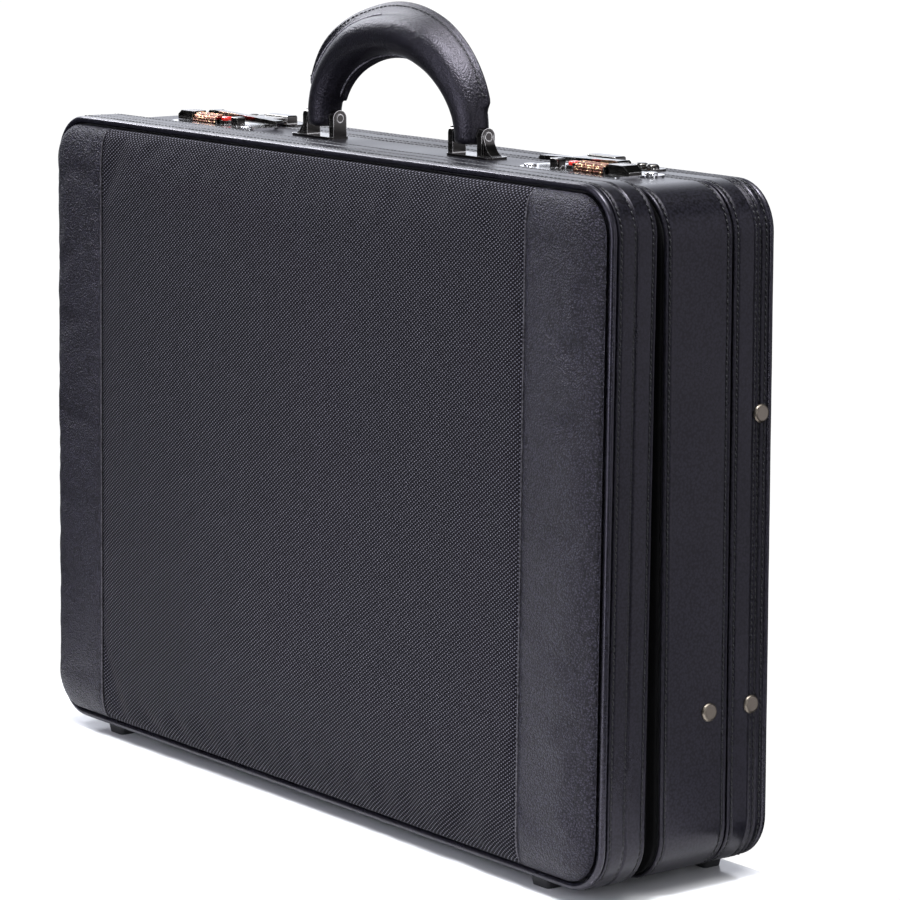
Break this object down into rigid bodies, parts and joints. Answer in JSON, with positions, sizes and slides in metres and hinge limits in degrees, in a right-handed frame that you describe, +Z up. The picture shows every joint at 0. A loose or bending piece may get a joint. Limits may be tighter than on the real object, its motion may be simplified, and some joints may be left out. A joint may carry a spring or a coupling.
{
  "type": "leather briefcase",
  "caption": "Expandable black leather attache case with woven panels, padded arch handle, combination locks, hinged lid, sliding expansion tray and folding lid stays.",
  "frame": {"origin": "on the floor plane, at the centre of the outer box in X and Y", "axes": "+X along the case, towards the right of someone facing its front (expansion tray) side; +Y from the front tray towards the lid; +Z up, the case standing on its feet with the handle on top"},
  "size_m": [0.4534, 0.1138, 0.3907],
  "materials": {
    "black_leather": "satin, fine pebble grain",
    "leather_piping": "semi-gloss",
    "woven_nylon": "matte ballistic weave",
    "gusset_cloth": "matte",
    "case_board": "matte",
    "valance_trim": "satin",
    "lining_cloth": "matte",
    "organiser_leather": "satin",
    "hinge_steel": "brushed",
    "rivet_metal": "satin antique",
    "gunmetal": "polished black nickel",
    "bright_nickel": "polished",
    "dial_brass": "polished",
    "red_button": "gloss",
    "foot_rubber": "matte"
  },
  "bodies": {
    "base": {"base_frame": "case_board", "base_band": "black_leather", "base_valance": "valance_trim", "gusset": "gusset_cloth", "hinge_leaf_base": "hinge_steel", "hinge_pin": "hinge_steel", "base_rivets": "rivet_metal", "handle_bracket_left": "gunmetal", "handle_bracket_right": "gunmetal", "handle_pins": "bright_nickel", "lock_plate_left": "bright_nickel", "lock_plate_right": "bright_nickel", "lock_housing_left": "gunmetal", "lock_housing_right": "gunmetal", "dial_axles": "bright_nickel", "hasp_pins": "bright_nickel", "lock_screws": "bright_nickel"},
    "tray": {"tray_band": "black_leather", "tray_feet": "foot_rubber", "tray_flank_left": "black_leather", "tray_flank_right": "black_leather", "tray_lining": "lining_cloth", "tray_panel": "woven_nylon", "tray_piping": "leather_piping", "tray_shell": "case_board"},
    "lid": {"lid_band": "black_leather", "lid_catch_left": "gunmetal", "lid_catch_right": "gunmetal", "lid_feet": "foot_rubber", "lid_flank_left": "black_leather", "lid_flank_right": "black_leather", "lid_lining": "lining_cloth", "lid_panel": "woven_nylon", "lid_piping": "leather_piping", "lid_rivets": "rivet_metal", "lid_shell": "case_board", "hinge_leaf_lid": "hinge_steel", "catch_screws": "bright_nickel", "organiser_panel": "organiser_leather", "organiser_pockets": "organiser_leather", "pen_loops": "organiser_leather"},
    "handle": {"handle_grip": "black_leather", "handle_eyes": "bright_nickel", "handle_welt": "black_leather"},
    "hasp_left": {"hasp_left": "gunmetal"},
    "thumb_slide_left": {"thumb_slide_left": "gunmetal"},
    "reset_button_left": {"reset_button_left": "red_button"},
    "dial_left_1": {"dial_left_1": "dial_brass"},
    "dial_left_2": {"dial_left_2": "dial_brass"},
    "dial_left_3": {"dial_left_3": "dial_brass"},
    "stay_base_link_left": {"stay_base_link_left": "hinge_steel"},
    "stay_lid_link_left": {"stay_lid_link_left": "hinge_steel"},
    "hasp_right": {"hasp_right": "gunmetal"},
    "thumb_slide_right": {"thumb_slide_right": "gunmetal"},
    "reset_button_right": {"reset_button_right": "red_button"},
    "dial_right_1": {"dial_right_1": "dial_brass"},
    "dial_right_2": {"dial_right_2": "dial_brass"},
    "dial_right_3": {"dial_right_3": "dial_brass"},
    "stay_base_link_right": {"stay_base_link_right": "hinge_steel"},
    "stay_lid_link_right": {"stay_lid_link_right": "hinge_steel"}
  },
  "joints": [
    {"name": "lid_hinge", "type": "hinge", "parent": "base", "child": "lid", "pos_m": [0, 0.0245, 0.003], "axis": [-1, 0, 0], "range_deg": [0, 100]},
    {"name": "tray_expansion", "type": "slide", "parent": "base", "child": "tray", "axis": [0, -1, 0], "range_m": [-0.0035, 0.022], "deforming": ["gusset"]},
    {"name": "handle_swing", "type": "hinge", "parent": "base", "child": "handle", "pos_m": [0, 0.007, 0.3292], "axis": [1, 0, 0], "range_deg": [-80, 80]},
    {"name": "hasp_left_lift", "type": "hinge", "parent": "base", "child": "hasp_left", "pos_m": [-0.162, 0.0127, 0.3228], "axis": [0, -1, 0], "range_deg": [0, 60]},
    {"name": "thumb_slide_left_travel", "type": "slide", "parent": "base", "child": "thumb_slide_left", "axis": [-1, 0, 0], "range_m": [0, 0.004], "stiffness_N_per_m": 250},
    {"name": "reset_button_left_press", "type": "slide", "parent": "base", "child": "reset_button_left", "axis": [0, 0, -1], "range_m": [0, 0.0012], "stiffness_N_per_m": 250},
    {"name": "dial_left_1_spin", "type": "hinge", "parent": "base", "child": "dial_left_1", "pos_m": [-0.16105, 0.0037, 0.3195], "axis": [1, 0, 0], "continuous": true},
    {"name": "dial_left_2_spin", "type": "hinge", "parent": "base", "child": "dial_left_2", "pos_m": [-0.15425, 0.0037, 0.3195], "axis": [1, 0, 0], "continuous": true},
    {"name": "dial_left_3_spin", "type": "hinge", "parent": "base", "child": "dial_left_3", "pos_m": [-0.14745, 0.0037, 0.3195], "axis": [1, 0, 0], "continuous": true},
    {"name": "stay_base_link_left_fold", "type": "hinge", "parent": "base", "child": "stay_base_link_left", "pos_m": [-0.21665, 0.0129, 0.0819], "axis": [-1, 0, 0], "range_deg": [0, 117]},
    {"name": "stay_lid_link_left_fold", "type": "hinge", "parent": "lid", "child": "stay_lid_link_left", "pos_m": [-0.21455, 0.038, 0.0819], "axis": [1, 0, 0], "range_deg": [0, 117]},
    {"name": "hasp_right_lift", "type": "hinge", "parent": "base", "child": "hasp_right", "pos_m": [0.162, 0.0127, 0.3228], "axis": [0, 1, 0], "range_deg": [0, 60]},
    {"name": "thumb_slide_right_travel", "type": "slide", "parent": "base", "child": "thumb_slide_right", "axis": [1, 0, 0], "range_m": [0, 0.004], "stiffness_N_per_m": 250},
    {"name": "reset_button_right_press", "type": "slide", "parent": "base", "child": "reset_button_right", "axis": [0, 0, -1], "range_m": [0, 0.0012], "stiffness_N_per_m": 250},
    {"name": "dial_right_1_spin", "type": "hinge", "parent": "base", "child": "dial_right_1", "pos_m": [0.14745, 0.0037, 0.3195], "axis": [1, 0, 0], "continuous": true},
    {"name": "dial_right_2_spin", "type": "hinge", "parent": "base", "child": "dial_right_2", "pos_m": [0.15425, 0.0037, 0.3195], "axis": [1, 0, 0], "continuous": true},
    {"name": "dial_right_3_spin", "type": "hinge", "parent": "base", "child": "dial_right_3", "pos_m": [0.16105, 0.0037, 0.3195], "axis": [1, 0, 0], "continuous": true},
    {"name": "stay_base_link_right_fold", "type": "hinge", "parent": "base", "child": "stay_base_link_right", "pos_m": [0.21665, 0.0129, 0.0819], "axis": [-1, 0, 0], "range_deg": [0, 117]},
    {"name": "stay_lid_link_right_fold", "type": "hinge", "parent": "lid", "child": "stay_lid_link_right", "pos_m": [0.21455, 0.038, 0.0819], "axis": [1, 0, 0], "range_deg": [0, 117]}
  ],
  "couplings": [
    {"joint": "stay_base_link_left_fold", "follows": "lid_hinge", "ratio": 1.167},
    {"joint": "stay_lid_link_left_fold", "follows": "lid_hinge", "ratio": 1.167},
    {"joint": "stay_base_link_right_fold", "follows": "lid_hinge", "ratio": 1.167},
    {"joint": "stay_lid_link_right_fold", "follows": "lid_hinge", "ratio": 1.167}
  ]
}
